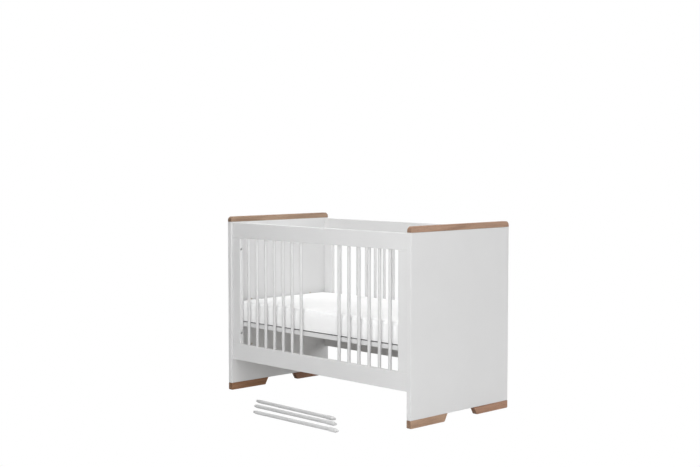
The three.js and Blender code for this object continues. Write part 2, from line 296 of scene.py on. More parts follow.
def lacquer(name, tone, grain=None):
    """White lacquer: a fine orange peel, and on solid wood the grain just telegraphing through."""
    material, shader = new_material(
        name, Roughness=0.48, IOR=1.46, Specular_IOR_Level=0.3, Coat_Weight=0.04, Coat_Roughness=0.3
    )
    points = place(material)
    cloud = mottle(material, points, scale=7, detail=3)
    colour = clouded(material, cloud, (tone * 0.988,) * 3, (tone * 1.006,) * 3)
    height = mottle(material, points, scale=620, detail=2, roughness=0.45)
    if grain:
        fibres = place(material, tuple(0.03 if axis == grain else 1 for axis in "xyz"))
        streaks = mottle(material, fibres, scale=420, detail=3, roughness=0.6)
        height = sum_of(material, height, streaks, share=0.9)
        colour = darkened(material, colour, spread(material, streaks, 0.985, 1.0))
    handled = mottle(material, points, scale=16, detail=4, roughness=0.6)
    rough = spread(material, handled, 0.44, 0.54)
    dress(material, shader, colour, rough, height, strength=0.25, distance=0.12 * MM)
    return material


def oak(name, tint):
    """Oiled oak, its grain along Y: growth bands, fine fibre, open pores and darker end grain.

    The tint is each channel's share of the three shades; on the left end's parts it also darkens them as painted
    shade.
    """
    material, shader = new_material(name, Roughness=0.6, IOR=1.45, Specular_IOR_Level=0.35)
    bands = mottle(material, place(material, (1, 0.06, 1)), scale=60, detail=3, distortion=0.6)
    fibre = mottle(material, place(material, (1, 0.02, 1)), scale=640, detail=3, roughness=0.65)
    pores = mottle(material, place(material, (1, 0.035, 1)), scale=1500, detail=1)
    shades = (OAK_DARK, OAK_MIDDLE, OAK_PALE)
    stops = [tuple(part * share for part, share in zip(shade, tint)) for shade in shades]
    colour = ramp(material, bands, list(zip((0.3, 0.5, 0.7), stops)))
    fine = ramp(material, fibre, [(0.3, (0.86, 0.85, 0.84)), (0.62, (1.06, 1.06, 1.06))])
    colour = darkened(material, colour, fine)
    open_pores = between(material, pores, NOISE_LOW, 0.4)
    pore_tone = between(material, open_pores, 0, 1, 0.66, 1.0)
    colour = darkened(material, colour, pore_tone)
    end_grain = between(material, facing(material, "Y"), 0.5, 0.95, 1.0, 0.66)
    colour = darkened(material, colour, end_grain)
    rough = spread(material, fibre, 0.7, 0.52)
    relief = sum_of(material, fibre, open_pores, share=1.2)
    relief = sum_of(material, relief, bands, share=0.5)
    dress(material, shader, colour, rough, relief, strength=0.45, distance=0.25 * MM)
    return material


def beech():
    """Planed beech laths, their grain along Y, with the short dark flecks of the wood's rays."""
    material, shader = new_material("beech_laths", Roughness=0.6, IOR=1.45)
    bands = mottle(material, place(material, (1, 0.05, 1)), scale=45, detail=3, distortion=0.5)
    fibre = mottle(material, place(material, (1, 0.03, 1)), scale=520, roughness=0.6)
    flecks = mottle(material, place(material, (1, 0.22, 1)), scale=900, detail=1)
    colour = ramp(
        material,
        bands,
        [(0.3, (0.62, 0.53, 0.42)), (0.5, (0.69, 0.61, 0.5)), (0.72, (0.75, 0.68, 0.57))],
    )
    fine = between(material, fibre, 0.3, 0.65, 0.9, 1.03)
    colour = darkened(material, colour, fine)
    fleck_tone = between(material, flecks, 0.3, 0.36, 0.72, 1.0)
    colour = darkened(material, colour, fleck_tone)
    rough = spread(material, fibre, 0.68, 0.52)
    dress(material, shader, colour, rough, fibre, strength=0.35, distance=0.2 * MM)
    return material


def cotton(name, tone, cell, depth, edge_shade_tone=1.0):
    """A knitted cover: rows and columns of stitches, a soft nap and slightly uneven yarn.

    Where it turns over an edge it is darkened by the edge shade tone: painted shade, against the light its rounded
    edge catches.
    """
    material, shader = new_material(
        name, Roughness=0.92, IOR=1.4, Sheen_Weight=0.25, Sheen_Roughness=0.5
    )
    points = place(material)
    pieces = add(material, "SeparateXYZ", {"Vector": points}).outputs
    columns = sum_of(material, pieces["X"], pieces["Z"])
    rows = sum_of(material, pieces["Y"], pieces["Z"])
    waves = []
    for distance in (columns, rows):
        turns = add(material, "Math", {0: distance, 1: 2 * math.pi / cell}, operation="MULTIPLY")
        waves.append(add(material, "Math", {0: turns.outputs[0]}, operation="SINE").outputs[0])
    stitches = add(material, "Math", {0: waves[0], 1: waves[1]}, operation="MULTIPLY").outputs[0]
    yarn = mottle(material, points, scale=900, detail=2, roughness=0.6)
    cloud = mottle(material, points, scale=9, detail=3)
    dim = tuple(value * 0.975 for value in tone)
    colour = clouded(material, cloud, dim, tone)
    shade = between(material, stitches, -1, 1, 0.975, 1.0)
    colour = darkened(material, colour, shade)
    # Painted shade: the cover is darker where it turns over a rounded edge.
    if edge_shade_tone < 1:
        tilt = facing(material, "Z")
        rising = between(material, tilt, 0.1, 0.55, 1.0, edge_shade_tone)
        falling = between(material, tilt, 0.8, 0.99, 0.0, 1 - edge_shade_tone)
        painted_edge_shade = sum_of(material, rising, falling)
        colour = darkened(material, colour, painted_edge_shade)
    rough = spread(material, yarn, 0.86, 0.97)
    relief = sum_of(material, stitches, yarn, share=0.8)
    dress(material, shader, colour, rough, relief, strength=0.5, distance=depth)
    return material


def moulded_plastic():
    """White moulded plastic with a faint spark-eroded texture."""
    material, shader = new_material("white_plastic", Roughness=0.38, IOR=1.5)
    points = place(material)
    grains = mottle(material, points, scale=1400)
    cloud = mottle(material, points, scale=30)
    colour = clouded(material, cloud, (0.58, 0.58, 0.58), (0.61, 0.61, 0.61))
    rough = spread(material, grains, 0.32, 0.46)
    dress(material, shader, colour, rough, grains, strength=0.3, distance=0.06 * MM)
    return material


def metal(name, dark, bright, rough, scratch_scale):
    """Metal with a fine turned or drawn texture."""
    material, shader = new_material(name, Metallic=1.0, Roughness=rough)
    points = place(material)
    scratches = mottle(material, points, scratch_scale, detail=3, roughness=0.6)
    cloud = mottle(material, points, scale=120)
    colour = clouded(material, cloud, dark, bright)
    rougher = spread(material, scratches, rough - 0.06, rough + 0.1)
    dress(material, shader, colour, rougher, scratches, strength=0.2, distance=0.03 * MM)
    return material


LACQUER_BOARD = lacquer("white_lacquer_board", LACQUER_TONE)
LACQUER_X = lacquer("white_lacquer_grain_x", LACQUER_TONE, "x")
LACQUER_Y = lacquer("white_lacquer_grain_y", LACQUER_TONE, "y")
LACQUER_Z = lacquer("white_lacquer_grain_z", LACQUER_TONE, "z")
# Darker copies of the same white lacquer for the bars and the loose bars: painted shade.
BAR_LACQUER_PAINTED_SHADE = lacquer("white_bar_lacquer_painted_shade", BAR_TONE_PAINTED_SHADE, "z")
LOOSE_LACQUER_PAINTED_SHADE = lacquer("loose_bar_lacquer_painted_shade", LOOSE_BAR_TONE_PAINTED_SHADE, "x")
OAK = {name: oak(name + "_oak", tint) for name, tint in OAK_TINTS_WITH_PAINTED_SHADE.items()}
BEECH = beech()
# The cover is darkened along its rounded edges: painted shade.
COVER = cotton(
    "mattress_cover", (0.955, 0.955, 0.955), cell=1.7 * MM, depth=0.35 * MM, edge_shade_tone=0.88
)
PIPING = cotton("mattress_piping", (0.9, 0.9, 0.9), cell=1.1 * MM, depth=0.25 * MM)
# A dark underside that comes up the mattress's border: painted shadow, for the shadow line between the mattress
# and the base.
UNDERSIDE_PAINTED_SHADOW = cotton("mattress_underside_painted_shadow", (0.09, 0.09, 0.095), cell=2.4 * MM, depth=0.5 * MM)
TAPE = cotton("lath_tape", (0.8, 0.79, 0.75), cell=1.4 * MM, depth=0.3 * MM)
PLASTIC = moulded_plastic()
SPRING_STEEL = metal("spring_steel", (0.5, 0.5, 0.5), (0.6, 0.6, 0.61), 0.3, 2200)
BRIGHT_ZINC = metal("bright_zinc", (0.5, 0.5, 0.505), (0.62, 0.62, 0.625), 0.4, 1800)
INSERT_METAL = metal("zinc_yellow", (0.55, 0.5, 0.4), (0.66, 0.6, 0.48), 0.36, 1800)


# ---- mesh work


def new_piece(name, form, material):
    """An object from a bmesh, smooth but for its sharp edges."""
    mesh = bpy.data.meshes.new(name)
    form.to_mesh(mesh)
    form.free()
    mesh.materials.append(material)
    mesh.shade_smooth()
    mesh.set_sharp_from_angle(angle=SHARP_ANGLE)
    piece = bpy.data.objects.new(name, mesh)
    bpy.context.scene.collection.objects.link(piece)
    return piece


def stand_for(piece, *stood_for):
    """The piece stands in for these CAD nodes: they are hidden, and it joins the body of the first."""
    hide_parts(*stood_for)
    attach(piece, body_of[stood_for[0]])
    return piece


def belongs_to(piece, node):
    """The piece is fixed to this node's body."""
    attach(piece, body_of[node])
    return piece


def apply_modifiers(piece):
    graph = bpy.context.evaluated_depsgraph_get()
    mesh = bpy.data.meshes.new_from_object(piece.evaluated_get(graph))
    piece.modifiers.clear()
    piece.data = mesh


def flatten_shading(piece):
    """Large flat faces keep their own normal, so that only the rounded edges turn."""
    modifier = piece.modifiers.new("normals", "WEIGHTED_NORMAL")
    modifier.keep_sharp = True
    apply_modifiers(piece)


def bevel(form, edges, radius, segments):
    """Rounds these edges."""
    bmesh.ops.bevel(
        form, geom=edges, offset=radius, segments=segments, profile=0.5, affect="EDGES"
    )


def rounded_box(low, high, radius, segments=EDGE_SEGMENTS):
    form = bmesh.new()
    bmesh.ops.create_cube(form, size=1)
    bmesh.ops.scale(form, vec=high - low, verts=form.verts)
    bmesh.ops.translate(form, vec=(low + high) / 2, verts=form.verts)
    bevel(form, form.edges[:], radius, segments)
    return form


def soften(points, radius):
    """The path with each corner rounded by up to radius."""
    path = [Vector(point) for point in points]
    soft = [path[0]]
    for before, corner, after in zip(path, path[1:], path[2:]):
        reach = min(radius, (before - corner).length / 2, (after - corner).length / 2)
        start = corner + (before - corner).normalized() * reach
        end = corner + (after - corner).normalized() * reach
        for step in range(SOFT_STEPS + 1):
            share = step / SOFT_STEPS
            soft.append(start.lerp(corner, share).lerp(corner.lerp(end, share), share))
    soft.append(path[-1])
    return soft


def circle(form, radius, height, sides):
    """A ring of new vertices round Z."""
    angles = [2 * math.pi * step / sides for step in range(sides)]
    return [form.verts.new((radius * math.cos(a), radius * math.sin(a), height)) for a in angles]


def join_rings(form, pairs):
    """Four-sided faces between the rings of each pair, which have as many vertices."""
    for lower, upper in pairs:
        for step in range(len(lower)):
            following = (step + 1) % len(lower)
            form.faces.new((lower[step], lower[following], upper[following], upper[step]))


def turned(profile, sides=TURNED_SIDES):
    """A closed solid turned round Z, from (radius, height) pairs that start and end on the axis."""
    form = bmesh.new()
    rings = [
        circle(form, radius, height, sides if radius > TINY else 1) for radius, height in profile
    ]
    for lower, upper in zip(rings, rings[1:]):
        for step in range(sides):
            following = (step + 1) % sides
            corners = (
                lower[step % len(lower)],
                lower[following % len(lower)],
                upper[following % len(upper)],
                upper[step % len(upper)],
            )
            distinct = list(dict.fromkeys(corners))
            if len(distinct) > 2:
                form.faces.new(distinct)
    bmesh.ops.recalc_face_normals(form, faces=form.faces)
    return form


def ring_solid(profile):
    """A solid turned round Z from a closed section that stays clear of the axis."""
    form = bmesh.new()
    rings = [circle(form, radius, height, TURNED_SIDES) for radius, height in profile]
    join_rings(form, zip(rings, rings[1:] + rings[:1]))
    bmesh.ops.recalc_face_normals(form, faces=form.faces)
    return form


def aim(form, start, direction):
    """Moves a form made along Z from the origin to start, along direction."""
    turn = direction.to_track_quat("Z", "Y").to_matrix().to_4x4()
    bmesh.ops.transform(form, matrix=Matrix.Translation(start) @ turn, verts=form.verts)
    return form


def joined(forms):
    """One bmesh from several."""
    whole = bmesh.new()
    for form in forms:
        mesh = bpy.data.meshes.new("part")
        form.to_mesh(mesh)
        form.free()
        whole.from_mesh(mesh)
        bpy.data.meshes.remove(mesh)
    return whole


def hole(mouth, outwards, diameter, depth, chamfer=0.0, sides=TURNED_SIDES):
    """The cutter of a round hole whose mouth is at a point of a face."""
    radius = diameter / 2
    profile = [(0, -depth), (radius, -depth), (radius, -chamfer), (radius + chamfer, 0)]
    profile += [(radius + chamfer, HOLE_OVERRUN), (0, HOLE_OVERRUN)]
    return aim(turned(list(dict.fromkeys(profile)), sides), mouth, outwards)


def cut(piece, cutters):
    """Takes the cutters out of the piece."""
    tool = new_piece("cutter", joined(cutters), LACQUER_BOARD)
    modifier = piece.modifiers.new("holes", "BOOLEAN")
    modifier.operation = "DIFFERENCE"
    modifier.solver = "EXACT"
    modifier.object = tool
    apply_modifiers(piece)
    bpy.data.objects.remove(tool)
    piece.data.shade_smooth()
    piece.data.set_sharp_from_angle(angle=SHARP_ANGLE)


def board(node, material, cutters=(), edge=BOARD_EDGE):
    """A board in the place of a CAD board, with rounded edges and its holes."""
    piece = new_piece(node + "_board", rounded_box(*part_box(node), edge), material)
    if cutters:
        cut(piece, cutters)
    flatten_shading(piece)
    return stand_for(piece, node)


def arc(centre, radius, start, end):
    angles = [start + (end - start) * step / ARC_STEPS for step in range(ARC_STEPS + 1)]
    return [(centre[0] + radius * math.cos(a), centre[1] + radius * math.sin(a)) for a in angles]


def plate(node, outline):
    """An oak plate in the place of a cap or foot, from its outline in Y and Z."""
    low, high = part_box(node)
    form = bmesh.new()
    near = [form.verts.new((low.x, y, z)) for y, z in outline]
    far = [form.verts.new((high.x, y, z)) for y, z in outline]
    form.faces.new(near)
    form.faces.new(reversed(far))
    for index in range(len(outline)):
        following = (index + 1) % len(outline)
        form.faces.new((near[index], near[following], far[following], far[index]))
    bmesh.ops.recalc_face_normals(form, faces=form.faces)
    rims = [edge for edge in form.edges if edge.calc_face_angle(0) > SHARP_ANGLE]
    bevel(form, rims, TRIM_EDGE, EDGE_SEGMENTS)
    piece = new_piece(node + "_shaped", form, OAK[node])
    flatten_shading(piece)
    return stand_for(piece, node)


def tube(points, radius, closed, sides=WIRE_SIDES):
    """A round tube along points, its section turned as little as possible from one to the next."""
    form = bmesh.new()
    count = len(points)
    rings = []
    across = None
    for index, point in enumerate(points):
        before = points[index - 1] if closed or index else point
        after = points[(index + 1) % count] if closed or index + 1 < count else point
        along = (after - before).normalized()
        if across is None:
            across = along.orthogonal()
        across = (across - along * across.dot(along)).normalized()
        up = along.cross(across)
        angles = [2 * math.pi * step / sides for step in range(sides)]
        ring = [point + (across * math.cos(a) + up * math.sin(a)) * radius for a in angles]
        rings.append([form.verts.new(spot) for spot in ring])
    pairs = list(zip(rings, rings[1:]))
    if closed:
        pairs.append((rings[-1], nearest_turn(rings[-1], rings[0])))
    join_rings(form, pairs)
    if not closed:
        form.faces.new(reversed(rings[0]))
        form.faces.new(rings[-1])
    bmesh.ops.recalc_face_normals(form, faces=form.faces)
    return form


def nearest_turn(last, first):
    """The first ring, started from the vertex nearest the last ring's first one."""
    start = min(range(len(first)), key=lambda index: (first[index].co - last[0].co).length)
    return first[start:] + first[:start]


# ---- ends


def end_face(end):
    """The inner face of an end board: its x and the direction out of it."""
    low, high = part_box(f"{end}_end_panel")
    return (high.x, Vector((1, 0, 0))) if end == "left" else (low.x, Vector((-1, 0, 0)))


def middle_of(node):
    """The centre of a node's box."""
    low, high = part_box(node)
    return (low + high) / 2


def base_bolt_places(end):
    """The places of an end's two base bolts, on the end board's inner face."""
    x, _ = end_face(end)
    centre = middle_of(f"base_{end}_end_rail")
    offsets = (-BASE_BOLT_SPREAD / 2, BASE_BOLT_SPREAD / 2)
    return [Vector((x, centre.y + offset, centre.z)) for offset in offsets]


def frame_bolt_places(end, side):
    """The places of a stile's two bolts, on the end board's inner face."""
    x, _ = end_face(end)
    y = middle_of(f"{side}_{end}_stile").y
    return [Vector((x, y, height)) for height in FRAME_BOLT_HEIGHTS]


def make_end_panel(end):
    """An end board, with holes for its side bolts' inserts, and the inserts of the base's three heights."""
    _, inwards = end_face(end)
    levels = (-BASE_LEVEL_STEP, 0, BASE_LEVEL_STEP)
    base_holes = [
        spot + Vector((0, 0, level)) for spot in base_bolt_places(end) for level in levels
    ]
    side_holes = [spot for side in SIDES for spot in frame_bolt_places(end, side)]
    cutters = [
        hole(spot, inwards, INSERT_DIAMETER, INSERT_DEPTH, HOLE_CHAMFER)
        for spot in base_holes + side_holes
    ]
    board(f"{end}_end_panel", LACQUER_BOARD, cutters, END_BOARD_EDGE)
    for number, spot in enumerate(base_holes, 1):
        make_insert(f"{end}_base_insert_{number}", f"{end}_end_panel", spot, inwards)


def make_insert(name, node, mouth, outwards):
    """A threaded insert just below the face: a sleeve with a ridged bore."""
    outer = INSERT_DIAMETER / 2 - INSERT_FIT
    bore = INSERT_BORE / 2
    top = -INSERT_SINK
    bottom = -INSERT_DEPTH + INSERT_END_SPACE
    pitch = (top - bottom) / INSERT_THREADS
    mouth_bevel, mouth_height = INSERT_BEVEL
    profile = [(bore, top - mouth_height), (bore + mouth_bevel, top), (outer, top), (outer, bottom)]
    for thread in range(INSERT_THREADS):
        z = bottom + thread * pitch
        profile += [(bore, z), (bore + INSERT_THREAD_DEPTH, z + pitch / 2)]
    form = ring_solid(profile)
    belongs_to(new_piece(name, aim(form, mouth, outwards), INSERT_METAL), node)


def make_cap(end):
    """A cap, its upper corners round."""
    node = f"{end}_end_cap"
    low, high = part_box(node)
    centre_z = high.z - CAP_CORNER
    outline = [(low.y, low.z), (high.y, low.z)]
    outline += arc((high.y - CAP_CORNER, centre_z), CAP_CORNER, 0, math.pi / 2)
    outline += arc((low.y + CAP_CORNER, centre_z), CAP_CORNER, math.pi / 2, math.pi)
    plate(node, outline)


def make_foot(end, side):
    """A foot: a round outer corner, and a toe that slants in under the end board."""
    node = f"{end}_{side}_foot"
    low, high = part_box(node)
    outwards = -1 if side == "front" else 1
    outer = low.y if side == "front" else high.y
    toe = high.y if side == "front" else low.y
    slant = math.atan2(high.z - low.z, FOOT_SLANT)
    reach = FOOT_TOE / math.tan((math.pi - slant) / 2)
    toe_centre = abs(toe - outer) - FOOT_SLANT - reach
    outline = [(0, high.z)]
    outline += arc((FOOT_CORNER, low.z + FOOT_CORNER), FOOT_CORNER, math.pi, 1.5 * math.pi)
    outline += arc((toe_centre, low.z + FOOT_TOE), FOOT_TOE, 1.5 * math.pi, 1.5 * math.pi + slant)
    outline += [(abs(toe - outer), high.z)]
    plate(node, [(outer - outwards * inset, z) for inset, z in outline])


# ---- barred sides


def bar_x(position):
    """The middle of a bar, or of a loose bar's socket, by its number from the left."""
    first = middle_of("rear_bar_01").x
    last = middle_of(f"rear_bar_{BAR_POSITIONS:02d}").x
    return first + (last - first) * (position - 1) / (BAR_POSITIONS - 1)


def make_rail(side, level):
    """A rail, with the holes of its bars' tenons and the sockets of the loose bars."""
    node = f"{side}_{level}_rail"
    low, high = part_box(node)
    z, outwards = (high.z, Vector((0, 0, 1))) if level == "bottom" else (low.z, Vector((0, 0, -1)))
    y = (low.y + high.y) / 2
    cutters = []
    for position in range(1, BAR_POSITIONS + 1):
        mouth = Vector((bar_x(position), y, z))
        if side == "front" and position in LOOSE_POSITIONS:
            cutters.append(hole(mouth, outwards, SOCKET_DIAMETER, SOCKET_DEPTH, HOLE_CHAMFER))
        else:
            diameter = TENON_DIAMETER + 2 * TENON_FIT
            cutters.append(hole(mouth, outwards, diameter, TENON_LENGTH + TENON_END_SPACE))
    board(node, LACQUER_X, cutters)


def make_stile(side, end):
    """A stile, with its two bolts sunk in counterbores."""
    node = f"{side}_{end}_stile"
    low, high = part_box(node)
    _, inwards = end_face(end)
    inner = high.x if end == "left" else low.x
    mouths = [Vector((inner, spot.y, spot.z)) for spot in frame_bolt_places(end, side)]
    cutters = [
        hole(mouth, inwards, FRAME_COUNTERBORE, COUNTERBORE_DEPTH, HOLE_CHAMFER) for mouth in mouths
    ]
    board(node, LACQUER_Z, cutters)
    for number, mouth in enumerate(mouths, 1):
        seat = mouth - inwards * COUNTERBORE_DEPTH
        make_bolt(f"{side}_{end}_bolt_{number}", node, seat, inwards, FRAME_BOLT_HEAD)


def make_bolt(name, node, seat, outwards, head_diameter):
    """A socket-head bolt: a round head with a hexagon socket, seated in a counterbore."""
    head = head_diameter / 2
    foot, top = BOLT_SEAT_GAP, BOLT_HEAD_LENGTH
    profile = soften([(0, foot), (head, foot), (head, top), (0, top)], BOLT_HEAD_SOFTNESS)
    piece = new_piece(name, aim(turned(profile), seat, outwards), BRIGHT_ZINC)
    socket = BOLT_SOCKET_WIDTH / math.sqrt(3)
    face = seat + outwards * BOLT_HEAD_LENGTH
    cut(piece, [hole(face, outwards, 2 * socket, BOLT_SOCKET_DEPTH, sides=6)])
    belongs_to(piece, node)


def make_bar(side, position):
    """A fixed bar: a round rod with square shoulders, and the tenons that hold it."""
    node = f"{side}_bar_{position:02d}"
    low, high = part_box(node)
    centre = middle_of(node)
    radius = (high.x - low.x) / 2
    tenon = TENON_DIAMETER / 2
    shoulder = TENON_LENGTH + BAR_SHOULDER_GAP
    length = high.z - low.z
    half = [(0, 0), (tenon, 0), (tenon, shoulder), (radius, shoulder)]
    other_half = [(r, length - z) for r, z in reversed(half)]
    profile = soften(half + other_half, BAR_SOFTNESS)
    start = Vector((centre.x, centre.y, low.z))
    bar = aim(turned(profile), start, Vector((0, 0, 1)))
    piece = new_piece(node + "_turned", bar, BAR_LACQUER_PAINTED_SHADE)
    stand_for(piece, node)


def make_side(side):
    for level in ("bottom", "top"):
        make_rail(side, level)
    for end in ENDS:
        make_stile(side, end)
    for position in range(1, BAR_POSITIONS + 1):
        if side == "rear" or position not in LOOSE_POSITIONS:
            make_bar(side, position)


# ---- loose bars


def along(node, direction):
    """Where a turned CAD node lies along its axis: the lowest end, and its length."""
    places = [vertex.co for vertex in nodes[node].data.vertices]
    centre = sum(places, Vector()) / len(places)
    reaches = [(spot - centre).dot(direction) for spot in places]
    return centre + direction * min(reaches), max(reaches) - min(reaches)


def rod_profile(radius, length):
    """From the pin at one end to the peg that holds the spring at the other."""
    pin = PIN_DIAMETER / 2
    shoulder = length - SPRING_PEG_LENGTH
    return soften([
        (0, 0),
        (pin, 0),
        (pin, PIN_LENGTH),
        (pin + PIN_SHOULDER, PIN_LENGTH),
        (radius, PIN_LENGTH + PIN_TAPER),
        (radius, shoulder),
        (SPRING_PEG / 2, shoulder),
        (SPRING_PEG / 2, length),
        (0, length),
    ], ROD_SOFTNESS)


def sleeve_profile(radius, length):
    """From the floor of the bore, out round the rim, to the pin at the closed end."""
    pin = PIN_DIAMETER / 2
    bore = SLEEVE_BORE / 2
    return soften([
        (0, SLEEVE_BORE_DEPTH),
        (bore, SLEEVE_BORE_DEPTH),
        (bore, 0),
        (radius, 0),
        (radius, SLEEVE_BORE_DEPTH + SLEEVE_SHOULDER),
        (pin + PIN_SHOULDER, length - PIN_LENGTH),
        (pin, length - PIN_LENGTH),
        (pin, length),
        (0, length),
    ], SLEEVE_SOFTNESS)


def make_loose_bar(which):
    """A loose bar: a rod with a pin at one end and a sprung sleeve with a pin at the other."""
    rod_node = f"loose_bar_{which}"
    sleeve_node = f"{rod_node}_sleeve"
    direction = -joint_axis[f"{rod_node}_press"]
    tip, rod_length = along(rod_node, direction)
    rim, sleeve_length = along(sleeve_node, direction)
    low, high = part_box(sleeve_node)
    outer = (high.z - low.z) / 2
    rod_low, rod_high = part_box(rod_node)
    radius = (rod_high.z - rod_low.z) / 2
    rod = aim(turned(rod_profile(radius, rod_length)), tip, direction)
    stand_for(new_piece(rod_node + "_turned", rod, LOOSE_LACQUER_PAINTED_SHADE), rod_node)
    sleeve = aim(turned(sleeve_profile(outer, sleeve_length)), rim, direction)
    stand_for(new_piece(sleeve_node + "_moulded", sleeve, PLASTIC), sleeve_node)
    clear = SPRING_WIRE / 2 + SPRING_END_GAP
    spring_start = tip + direction * (rod_length - SPRING_PEG_LENGTH + clear)
    spring_end = rim + direction * (SLEEVE_BORE_DEPTH - clear)
    make_spring(which, spring_start, spring_end)


def make_spring(which, start, end):
    """The sleeve's compression spring, whose end turns lie flat."""
    node = f"loose_bar_{which}_spring"
    length = (end - start).length
    turns = SPRING_COILS + 2 * SPRING_FLAT_TURNS
    radius = SPRING_MEAN / 2
    points = []
    for step in range(int(turns * SPRING_STEPS) + 1):
        turn = step / SPRING_STEPS
        angle = 2 * math.pi * turn
        height = spring_height(turn, length)
        points.append(Vector((radius * math.cos(angle), radius * math.sin(angle), height)))
    form = aim(tube(points, SPRING_WIRE / 2, False), start, (end - start).normalized())
    piece = new_piece(node + "_wire", form, SPRING_STEEL)
    stand_for(piece, node)
    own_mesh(piece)


def spring_height(turn, length):
    """The wire's height after some turns: it climbs only as its own width in the end turns."""
    flat = SPRING_FLAT_TURNS
    rise = min(max((turn - flat) / SPRING_COILS, 0), 1)
    flat_rise = (min(turn, flat) + max(turn - flat - SPRING_COILS, 0)) * SPRING_WIRE
    return rise * (length - 2 * flat * SPRING_WIRE) + flat_rise


# ---- base


def make_base():
    for side in SIDES:
        make_base_side_rail(side)
    for end in ENDS:
        make_base_end_rail(end)
    make_lath_deck()


def make_base_side_rail(side):
    """A side rail of the base, with the ledge that the laths' ends lie on."""
    node = f"base_{side}_rail"
    low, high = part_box(node)
    ledge = high.z - LATH_THICKNESS - LATH_REBATE_GAP
    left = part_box("base_left_end_rail")[1].x
    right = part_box("base_right_end_rail")[0].x
    if side == "front":
        span = (high.y - LATH_REBATE_WIDTH, high.y + HOLE_OVERRUN)
    else:
        span = (low.y - HOLE_OVERRUN, low.y + LATH_REBATE_WIDTH)
    cutter = rounded_box(
        Vector((left, span[0], ledge)),
        Vector((right, span[1], high.z + HOLE_OVERRUN)),
        FINE_EDGE,
        FINE_EDGE_SEGMENTS,
    )
    board(node, LACQUER_X, [cutter])


def make_base_end_rail(end):
    """An end rail of the base, with its two bolts sunk in counterbores."""
    node = f"base_{end}_end_rail"
    low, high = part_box(node)
    _, inwards = end_face(end)
    inner = high.x if end == "left" else low.x
    mouths = [Vector((inner, spot.y, spot.z)) for spot in base_bolt_places(end)]
    cutters = [
        hole(mouth, inwards, BASE_COUNTERBORE, COUNTERBORE_DEPTH, HOLE_CHAMFER) for mouth in mouths
    ]
    board(node, LACQUER_Y, cutters)
    for number, mouth in enumerate(mouths, 1):
        seat = mouth - inwards * COUNTERBORE_DEPTH
        make_bolt(f"base_{end}_bolt_{number}", node, seat, inwards, BASE_BOLT_HEAD)


def make_lath_deck():
    """Laths that lie on the side rails' ledges, stapled to two tapes that space them."""
    node = "base_lath_deck"
    low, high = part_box(node)
    middle = (low.y + high.y) / 2
    pitch = (high.x - low.x - LATH_WIDTH) / (LATH_COUNT - 1)
    lefts = [low.x + lath * pitch for lath in range(LATH_COUNT)]
    tape_lines = (middle - TAPE_SPREAD / 2, middle + TAPE_SPREAD / 2)
    make_laths(node, low, high, lefts)
    make_tapes(node, low, high, tape_lines)
    under = high.z - LATH_THICKNESS - TAPE_THICKNESS
    staples = [
        staple(Vector((left + LATH_WIDTH / 2 + offset, y, under)))
        for left in lefts
        for y in tape_lines
        for offset in (-STAPLE_OFFSET, STAPLE_OFFSET)
    ]
    belongs_to(new_piece("base_staples", joined(staples), SPRING_STEEL), node)


def make_laths(node, low, high, lefts):
    for number, left in enumerate(lefts, 1):
        lath_low = Vector((left, low.y, high.z - LATH_THICKNESS))
        lath_high = Vector((left + LATH_WIDTH, high.y, high.z))
        form = rounded_box(lath_low, lath_high, LATH_EDGE)
        piece = new_piece(f"base_lath_{number:02d}", form, BEECH)
        flatten_shading(piece)
        stand_for(piece, node)


def make_tapes(node, low, high, lines):
    """The two tapes, flat against the underside of the laths."""
    under = high.z - LATH_THICKNESS
    for number, y in enumerate(lines, 1):
        tape_low = Vector((low.x + TAPE_INSET, y - TAPE_WIDTH / 2, under - TAPE_THICKNESS))
        tape_high = Vector((high.x - TAPE_INSET, y + TAPE_WIDTH / 2, under))
        form = rounded_box(tape_low, tape_high, FINE_EDGE, FINE_EDGE_SEGMENTS)
        piece = new_piece(f"base_tape_{number}", form, TAPE)
        flatten_shading(piece)
        stand_for(piece, node)


def staple(middle):
    """A staple across a tape, its legs up through the tape into the lath."""
    half = Vector((0, STAPLE_LENGTH / 2, 0))
    leg = Vector((0, 0, TAPE_THICKNESS * 2))
    corners = [middle - half + leg, middle - half, middle + half, middle + half + leg]
    return tube(soften(corners, STAPLE_BEND), STAPLE_WIRE, False, STAPLE_SIDES)


# ---- mattress

MATTRESS_CELL = 8 * MM
UPPER_EDGE = 11 * MM
LOWER_EDGE = 7 * MM
UPPER_EDGE_STEPS = 5
LOWER_EDGE_STEPS = 4
LOWER_SEAM_ROW = -LOWER_EDGE_STEPS - 2  # among the border's rows, the start of the lower edge
SHADOW_BAND_HEIGHT = 3.6 * MM  # how far the dark underside comes up the border: a painted shadow line where the mattress meets the base
MATTRESS_CORNER = 34 * MM
MATTRESS_SHRINK = Vector((3.5 * MM, 3.5 * MM, 5 * MM))  # left for the cover to swell into
SIDE_SWELL = 3 * MM
TOP_SWELL = 9 * MM
PIPING_RADIUS = 1.2 * MM
CLOTH = {
    "quality": 6,
    "mass": 0.2,
    "tension_stiffness": 12,
    "compression_stiffness": 12,
    "shear_stiffness": 4,
    "bending_stiffness": 0.25,
    "pin_stiffness": 0.6,
    "shrink_min": -0.018,
    "use_pressure": True,
    "uniform_pressure_force": 4,
}
CLOTH_FRAMES = 20
# How strongly the cover is held: by the foam, at its sewn lower part, and at the upper seam.
FOAM_HOLD = 0.12
SEWN_HOLD = 1.0
UPPER_SEAM_HOLD = 0.5
LEVEL_SLACK = 0.01 * MM


